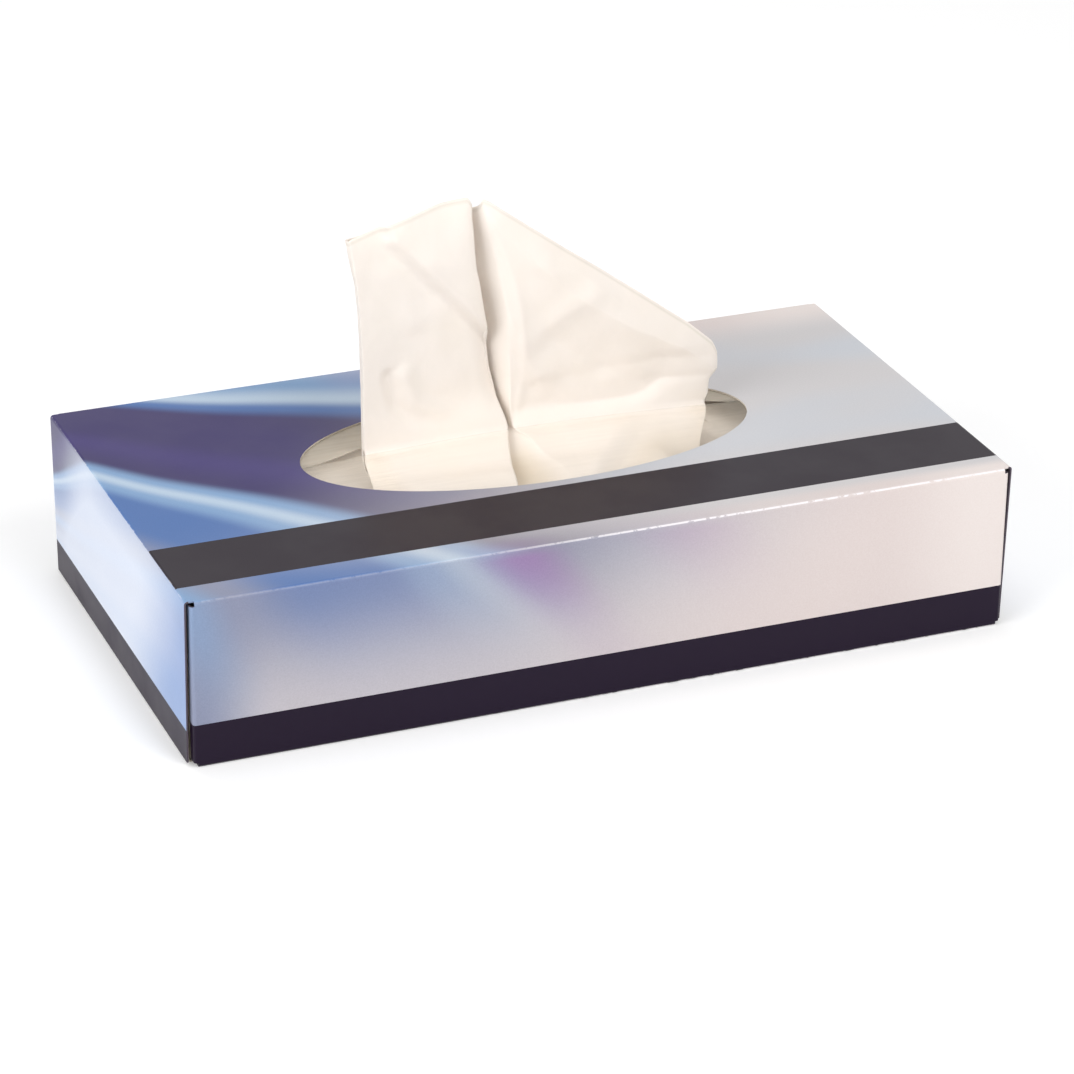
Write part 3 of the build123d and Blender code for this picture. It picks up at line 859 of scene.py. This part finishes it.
def crease_depth(x, z, points, forward, above, below):
    """How far a crease moves the sheet forward at (x, z): a ridge with straight flanks."""
    nearest = np.full(x.shape, 1e9)
    over = np.zeros(x.shape)
    for (x0, z0), (x1, z1) in zip(points, points[1:]):
        run = np.array([x1 - x0, z1 - z0])
        length = np.hypot(*run)
        share = np.clip(((x - x0) * run[0] + (z - z0) * run[1]) / length ** 2, 0, 1)
        off_x = x - x0 - share * run[0]
        off_z = z - z0 - share * run[1]
        distance = np.hypot(off_x, off_z)
        side = (off_z * run[0] - off_x * run[1]) / length
        closer = distance < nearest
        nearest = np.where(closer, distance, nearest)
        over = np.where(closer, side, over)
    flank = np.where(over > 0, above, below)
    return forward * np.clip(1 - nearest / flank, 0, 1) ** 1.15


def between_folds(low_fold, high_fold, share, z):
    """Places (x, y) this share of the way from one fold line to the next, at the heights z."""
    low_x, low_y = fold_at(low_fold, z)
    high_x, high_y = fold_at(high_fold, z)
    return low_x + share * (high_x - low_x), low_y + share * (high_y - low_y)


def standing_grid(rows):
    """Points of the standing tissue, from the film's lip up to its free edge, and each column's strip."""
    columns = []
    strip_of = []
    for number, (low_fold, high_fold, count, edge) in enumerate(strips):
        shares = np.linspace(0, 1, count, endpoint=number == len(strips) - 1)
        shares = 0.45 * shares + 0.55 * ease(shares)
        for share in shares:
            foot_x = between_folds(low_fold, high_fold, share, film_mid)[0]
            foot_z = front_lip(foot_x)[1] + foot_rise

            # The column ends where it meets the free edge, which is found by halving the distance
            top = 80.0
            for _ in range(40):
                wanted = edge(*between_folds(low_fold, high_fold, share, top))
                top += 0.5 * (wanted - top)
            z = foot_z + (top - foot_z) * (1 - (1 - np.linspace(0, 1, rows)) ** 1.15)
            x, y = between_folds(low_fold, high_fold, share, z)
            columns.append(np.stack([x, y, z], -1))
            strip_of.append(number)
    return np.stack(columns, 1), np.array(strip_of)


def press_creases(grid, strip_of):
    """Presses the creases into the two front panels, and fades them out at the panels' edges."""
    x, z = grid[..., 0], grid[..., 2]
    forward = np.zeros(x.shape)
    for points, reach, above, below in creases:
        forward += crease_depth(x, z, points, reach, above, below)
    share = np.zeros(len(strip_of))
    for number in (left_panel, right_panel):
        mine = np.flatnonzero(strip_of == number)
        share[mine] = np.sin(np.pi * np.linspace(0, 1, len(mine))) ** 0.5
    grid[..., 1] -= forward * share


# Below its diagonal crease the left panel drops back and rolls into the pleat: how far, over what width
drop_depth = 1.5
drop_width = 11.0
roll_depth = 2.8
roll_width = 5.6


def below_crease(x, z):
    """Share from 0 at the diagonal crease to 1 just below it, and back to 0 at the foot."""
    return ease((height_over(diagonal_crease, x) - z) / 5.5) * ease((z - 45.0) / 9.0)


def round_left_lip(grid, strip_of):
    """Lays the left panel further back below its diagonal crease, with a soft turn into the pleat."""
    panel = np.flatnonzero(strip_of == left_panel)
    wall = np.flatnonzero(strip_of == left_panel + 1)
    lip_x, lip_z = grid[:, wall[0], 0], grid[:, wall[0], 2]
    x, z = grid[:, panel, 0], grid[:, panel, 2]
    away = lip_x[:, None] - x
    back = drop_depth * np.exp(-away / drop_width) + roll_depth * np.clip(1 - away / roll_width, 0, 1) ** 2
    grid[:, panel, 1] += back * below_crease(x, z)
    along = np.linspace(0, 1, len(wall))[None]
    at_lip = (drop_depth + roll_depth) * below_crease(lip_x, lip_z)
    grid[:, wall, 1] += at_lip[:, None] * (1 - along) ** 2


# Height over which the left panel's foot bends forward
left_foot_reach = 11.0


def pull_to_lip(grid, strip_of):
    """Bends the foot of the two front panels forward, to where the film's front lip holds them."""
    x, z = grid[..., 0], grid[..., 2]
    lip_y, lip_z = front_lip(x)
    wanted = lip_y + lip_room
    above = z - lip_z - foot_rise
    right_foot_reach = height_over(foot_line, x) - lip_z - foot_rise
    for number, near in (
        (left_panel, ease(1 - above / left_foot_reach)),
        (right_panel, np.clip(1 - above / right_foot_reach, 0, 1)),
    ):
        share = near * (strip_of == number)[None]
        grid[..., 1] = grid[..., 1] * (1 - share) + wanted * share


# Folds of the apron under the film: points (x, y), how far up, and the reach left and right of the run.
# Together they lift it no further than the film leaves room for
apron_headroom = 1.15
apron_folds = [
    ([(-43.0, -9.0), (-35.7, -11.4), (-12.1, -12.2), (-3.9, -16.2)], 0.5, 4.0, 5.0),
    ([(-1.0, 3.0), (-1.4, -8.0), (-0.6, -19.3), (-0.6, -26.0)], 1.0, 11.0, 5.0),
    ([(31.0, 3.0), (22.0, -6.0), (8.4, -22.4), (5.0, -27.0)], 1.1, 3.4, 15.0),
    ([(36.0, 2.0), (27.0, -8.0), (13.0, -24.0)], -1.2, 9.0, 3.5),
]


def press_apron(grid, lip_y):
    """Lifts the apron along its folds, between the film's lip and the front of the stack."""
    x, y = grid[..., 0], grid[..., 1]
    lift = np.zeros(x.shape)
    for points, up, left, right in apron_folds:
        lift += crease_depth(x, y, points, up, left, right)
    lift *= ease((lip_y[None] - y) / 9.0) * ease((y + 36.0) / 8.0)
    grid[..., 2] += np.minimum(lift, apron_headroom)


# The pleat opens left and right below the lip: its shares, and how far they reach into the panels
opens_left = -0.35
opens_right = 0.65
left_panel_reach = 14.0
right_panel_reach = 12.0

# Where the sheet comes to lie flat on the stack, and how far its right end gathers inwards on the way
leaf_start_y = -42.0
gather = 11.0
gather_width = 26.0
gather_run = 15.0


def pleat_shares(x, strip_of):
    """Each column's share of the pleat's depth, and how far it goes left or right as the pleat opens."""
    in_strip = strip_of[:, None] == np.arange(len(strips))
    on_left, left_wall, deep, right_wall, on_right = in_strip[:, left_panel : right_panel + 1].T
    deepness = np.zeros(len(x))
    deepness[left_wall] = np.linspace(0, 1, left_wall.sum())
    deepness[deep] = 1.0
    deepness[right_wall] = np.linspace(1, 0, right_wall.sum())
    opens = opens_left * deepness
    opens[left_wall] = opens_left
    opens[right_wall] = np.linspace(opens_left, opens_right, right_wall.sum())
    opens[on_left] = opens_left * np.exp((x[on_left] - x[on_left].max()) / left_panel_reach)
    opens[on_right] = opens_right * np.exp((x[on_right].min() - x[on_right]) / right_panel_reach)
    return deepness, opens


def row_between(rows, step):
    """Row of points at a fractional step, on a smooth curve through the rows."""
    low = min(int(step), len(rows) - 2)
    share = step - low
    before, after = rows[max(low - 1, 0)], rows[min(low + 2, len(rows) - 1)]
    here, there = rows[low], rows[low + 1]
    bend = 2 * before - 5 * here + 4 * there - after
    twist = 3 * here - before - 3 * there + after
    return 0.5 * (2 * here + (there - before) * share + bend * share ** 2 + twist * share ** 3)


def leaf_rows(spread, leaf_z):
    """Rows of the two leaves on the stack: forward, round the front fold and back again below."""
    low_leaf_z = stack_high[2] + 0.45
    middle_z = (leaf_z + low_leaf_z) / 2
    turn = leaf_z - middle_z
    turn_y = tissue_low[1] + 0.6 + turn
    places = [(y, leaf_z) for y in np.linspace(leaf_start_y, turn_y, 8)[1:]]
    for angle in np.linspace(0, math.pi, 7)[1:]:
        places.append((turn_y - turn * math.sin(angle), middle_z + turn * math.cos(angle)))
    places += [(y, middle_z - turn) for y in np.linspace(turn_y, tissue_high[1], 34)[1:]]
    return [np.stack([spread, np.full(len(spread), y), np.full(len(spread), z)], -1) for y, z in places]


def apron_grid(foot, strip_of):
    """Rows of the sheet below the lip: under the film's tent, down to the stack, and the leaves on it."""
    x = foot[:, 0]
    lip_y, lip_z = front_lip(x)
    behind = np.clip(foot[:, 1] - lip_y - lip_room, 0, None)
    run = lengths_along(foot[:, :2])
    half_leaf = tissue_high[0] - 0.3
    spread = -half_leaf + 2 * half_leaf * run / run[-1]
    deepness, opens = pleat_shares(x, strip_of)
    leaf_z = stack_high[2] + 1.0
    tent_z = film_mid + (lip_z - film_mid) * 0.62

    # Each station: y of the panels, their z, how much of the pleat's depth is left, how far the pleat lies
    # below the panels, how far the columns have fanned out, the same in the pleat, and how far it is open
    stations = [
        (lip_y + 0.6, lip_z + 0.1, 0.96, 0.0, 0.0, 0.0, 0.0),
        (lip_y + 0.25, lip_z - 0.45, 0.86, 0.3, 0.002, 0.01, 0.3),
        (lip_y - 1.0, lip_z - 0.95, 0.62, 0.9, 0.008, 0.03, 1.1),
        (lip_y - 3.6, tent_z - 0.35, 0.32, 2.2, 0.02, 0.06, 3.6),
        (slit_y - tent_reach, film_mid - 1.3, 0.12, 3.0, 0.035, 0.12, 7.2),
        (-13.0, 42.6, 0.05, 2.9, 0.06, 0.18, 10.0),
        (-19.0, 41.8, 0.0, 2.2, 0.1, 0.25, 11.0),
        (-25.0, 40.8, 0.0, 1.2, 0.24, 0.4, 9.0),
        (-31.0, 39.6, 0.0, 0.3, 0.54, 0.65, 3.0),
        (-37.0, 38.7, 0.0, 0.0, 0.86, 0.9, 0.0),
        (leaf_start_y, leaf_z, 0.0, 0.0, 1.0, 1.0, 0.0),
    ]
    at_right = ease((x - right_x + gather_width) / gather_width)
    rows = []
    for y, z, depth, drop, fan, pleat_fan, opened in stations:
        fanned = fan + (pleat_fan - fan) * deepness
        across = x + (spread - x) * fanned + opened * opens
        beyond = np.clip(lip_y - y, 0, gather_run) / gather_run
        across = across - gather * at_right * beyond * ease((y + 34.0) / 12.0)
        level = z - drop * deepness
        level = level - 0.9 * at_right * ease(beyond) * np.clip(level - leaf_z - 0.4, 0, None)
        rows.append(np.stack([across, y + behind * depth, level], -1))
    draped = np.stack([row_between(rows, step) for step in np.linspace(0, len(rows) - 1, 64)])
    press_apron(draped, lip_y)
    return np.stack([*draped, *leaf_rows(spread, leaf_z)]), deepness


def painted_tuck_shade_share(grid, deepness, apron_rows):
    """How much painted shade each point gets where it lies in the layers under the film: a warm tan, darker
    than the open sheet.
    """
    x, y = grid[..., 0], grid[..., 1]
    near_lip = ease((slit_y - slit_front_bow - 0.5 - y) / 9.0) * ease((y + 34.0) / 8.0)
    in_pleat = 0.62 * ease(deepness / 0.75)
    right_of_fold = 0.3 * ease((x - 31.0 - 0.89 * (y - 3.0)) / 14.0)
    share = np.maximum(in_pleat[None], right_of_fold) * near_lip
    share[apron_rows:] = 0.0
    return share


def ruffle(grid, amount):
    """Moves each point along the sheet's own normal by soft undulation and faint crumpling."""
    down = np.gradient(grid, axis=0)
    across = np.gradient(grid, axis=1)
    normal = np.cross(across, down)
    normal /= np.maximum(np.linalg.norm(normal, axis=-1, keepdims=True), 1e-9)
    soft = 0.42 * soft_noise(grid, 21.0, 1) + 0.16 * soft_noise(grid, 8.0, 2)
    sharp = 0.30 * (crumple_noise(grid, 13.0, 3) - 0.4)
    return grid + normal * ((soft + sharp) * amount)[..., None]


# Mesh rows of the standing part, and how the margins behind the panels dive forward into the box
standing_rows = 96
dive_rows = 9
dive_forward = 3.4
dive_z = 41.0


def dive_margins(grid, valid, margin, apron_rows):
    """Takes the folded margins a little way into the box behind the panels."""
    foot = grid[apron_rows, margin]
    for step in range(1, dive_rows + 1):
        share = step / dive_rows
        row = apron_rows - step
        grid[row, margin, 0] = foot[:, 0]
        grid[row, margin, 1] = foot[:, 1] - dive_forward * share ** 2
        grid[row, margin, 2] = foot[:, 2] - (foot[:, 2] - dive_z) * math.sin(share * math.pi / 2)
        valid[row, margin] = True


def filled_grid(grid, valid):
    """Copy of the grid whose rows also run on over the points that aren't part of the sheet."""
    filled = grid.copy()
    for row in np.flatnonzero(~valid.all(1)):
        good = np.flatnonzero(valid[row])
        for axis in range(3):
            filled[row, :, axis] = np.interp(np.arange(grid.shape[1]), good, grid[row, good, axis])
    return filled


def make_tissue():
    """The drawn tissue as one sheet: the leaves on the stack, the apron and the standing part."""
    standing, strip_of = standing_grid(standing_rows)
    press_creases(standing, strip_of)
    round_left_lip(standing, strip_of)
    pull_to_lip(standing, strip_of)
    standing = smooth_along(standing, 1, 1)

    # The panels and the pleat run on into the apron, and the margins end just inside the box
    first = np.flatnonzero(strip_of == left_panel)[0]
    last = np.flatnonzero(strip_of == right_panel + 1)[0]
    main = np.zeros(len(strip_of), bool)
    main[first : last + 1] = True
    apron, apron_deepness = apron_grid(standing[0, main], strip_of[main])
    apron_rows = len(apron)
    rows = apron_rows + standing_rows
    grid = np.zeros((rows, len(strip_of), 3))
    grid[apron_rows:] = standing
    grid[:apron_rows, main] = apron[::-1]
    valid = np.ones((rows, len(strip_of)), bool)
    valid[:apron_rows, ~main] = False
    dive_margins(grid, valid, ~main, apron_rows)

    # The open sheet is ruffled most, the lip holds it still, and the leaves on the stack are nearly flat
    above_lip = np.arange(rows) - apron_rows
    amount = ease((above_lip + 40) / 30.0) * (0.35 + 0.65 * ease((above_lip - 2) / 14.0))
    amount = np.maximum(amount, 0.12 * (above_lip < -60))
    amount = amount * (1 - 0.9 * np.exp(-(above_lip / 7.0) ** 2))
    moved = ruffle(filled_grid(grid, valid), amount[:, None])
    moved[:, main] = smooth_along(moved[:, main], 0, 2)

    # Place on the flat sheet, measured along one row and one column of the open part
    run = lengths_along(moved[rows // 2 + 20])
    climb = lengths_along(moved[:, first + 20])
    flat = np.stack(np.broadcast_arrays(run[None], climb[:, None]), -1)
    tissue = grid_object("drawn_tissue_sheet", moved, valid, flat)

    # The pressed line just below the free edge, and the painted shade of the layers under the film
    from_edge = moved[-1, :, 2] - moved[..., 2]
    rim = np.exp(-(((from_edge - 0.9) / 0.35) ** 2)) * (above_lip[:, None] > 0)
    deepness = np.zeros(len(strip_of))
    deepness[main] = apron_deepness
    painted_tuck_shade = painted_tuck_shade_share(moved, deepness, apron_rows)
    store_numbers(tissue, {"rim": rim[valid], "painted_tuck_shade": painted_tuck_shade[valid]})
    split_gussets(tissue, moved, apron_rows, first, last)
    thicken(tissue, tissue_thickness)
    dress(tissue, tissue_material())
    return tissue


def rounded(point):
    """Place of a point in metres, rounded so that equal places compare as equal."""
    return tuple(np.round(point, 7))


def split_gussets(tissue, moved, apron_rows, first, last):
    """Takes out the cells that would join a dived margin to the apron beside it."""
    gone = set()
    for left, right in ((first - 1, first), (last, last + 1)):
        for row in range(apron_rows):
            gone.add((rounded(moved[row, left] * MM), rounded(moved[row, right] * MM)))
    with editing(tissue.data) as shape:
        doomed = []
        for face in shape.faces:
            places = {rounded(vertex.co) for vertex in face.verts}
            if any(left in places and right in places for left, right in gone):
                doomed.append(face)
        bmesh.ops.delete(shape, geom=doomed, context="FACES")
        loose = [vertex for vertex in shape.verts if not vertex.link_faces]
        bmesh.ops.delete(shape, geom=loose, context="VERTS")


# Floor: half its width in metres, and how it glows near the object and far off, in millimetres
floor_reach = 6.0
near_floor, far_floor = 700.0, 1300.0
near_glow, far_glow = 0.19, 0.8


def make_floor():
    """Plain pale floor, which the camera and reflections see as white apart from the object's shadow."""
    mesh = bpy.data.meshes.new("floor")
    corners = [(x * floor_reach, y * floor_reach, 0) for x, y in ((-1, -1), (1, -1), (1, 1), (-1, 1))]
    mesh.from_pydata(corners, [], [(0, 1, 2, 3)])
    floor = add_object("floor", mesh)
    tree = NodeTree(bpy.data.materials.new("pale_floor"))
    inputs = {"Base Color": srgb(243, 243, 243), "Roughness": 0.8, "Specular IOR Level": 0.05}
    seen = tree.most(*tree.background_rays())
    distance = tree.vector("LENGTH", tree.place())
    strength = tree.times(seen, tree.span(distance, near_floor, far_floor, near_glow, far_glow))
    glow = tree.node("ShaderNodeEmission", {"Strength": strength}).outputs[0]
    both = tree.node("ShaderNodeAddShader", {0: tree.principled(inputs), 1: glow})
    dress(floor, tree.finish(both.outputs[0]))


# Strength of the pale room as light, where 1 would be white, and the point that the lamps face
room_light = 0.5
lamp_target = Vector((0.0, 0.0, 0.05))


def make_lamp(name, place, size, power):
    """Square soft lamp that points at the box."""
    data = bpy.data.lights.new(name, "AREA")
    data.shape = "SQUARE"
    data.size = size
    data.energy = power
    lamp = add_object(name, data)
    lamp.location = place
    aim = lamp_target - lamp.location
    lamp.rotation_euler = aim.to_track_quat("-Z", "Y").to_euler()


def make_light():
    """Soft studio light: a key above the front right, a fill at the left, a back lamp and a pale room."""
    make_lamp("key", (0.42, -1.15, 1.05), 0.9, 11.0)
    make_lamp("fill", (-1.2, -0.46, 0.55), 0.9, 10.4)
    make_lamp("back", (-0.15, 0.75, 1.35), 0.7, 3.9)
    room = NodeTree(bpy.data.worlds.new("room"))
    strength = room.most(room_light, *room.background_rays())
    background = room.node("ShaderNodeBackground", {"Color": unit_grey(1.0), "Strength": strength})
    room.node("ShaderNodeOutputWorld", {"Surface": background.outputs[0]})
    bpy.context.scene.world = room.owner


# The photograph's camera, fitted to the carton's corners: azimuth, elevation and roll in degrees,
# its place in metres, and its lens and sensor in millimetres
camera_angles = (-22.099, 25.642, 0.673)
camera_place = (-0.3602, -0.8955, 0.4806)
camera_lens = 136.76
camera_sensor = 36.0


def make_camera():
    """The camera, turned by its three angles."""
    azimuth, elevation, roll = (math.radians(angle) for angle in camera_angles)
    back_x = math.sin(azimuth) * math.cos(elevation)
    back_y = -math.cos(azimuth) * math.cos(elevation)
    back = Vector((back_x, back_y, math.sin(elevation)))
    level = Vector((0.0, 0.0, 1.0)).cross(back).normalized()
    upright = back.cross(level)
    right = level * math.cos(roll) + upright * math.sin(roll)
    up = upright * math.cos(roll) - level * math.sin(roll)
    data = bpy.data.cameras.new("camera")
    data.sensor_width = camera_sensor
    data.lens = camera_lens
    camera = add_object("camera", data)
    turned = Matrix((right, up, back)).transposed().to_4x4()
    camera.matrix_world = Matrix.Translation(camera_place) @ turned
    bpy.context.scene.camera = camera


make_camera()
make_light()
make_floor()

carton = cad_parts["carton"]
dress(carton, carton_material())

film = make_film()
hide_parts("film_insert")
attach(film, "root")

stack = make_stack()
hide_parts("tissue_stack")
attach(stack, "root")

tissue = make_tissue()
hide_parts("drawn_tissue")
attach(tissue, "root")

scene = bpy.context.scene
scene.view_settings.view_transform = "Standard"
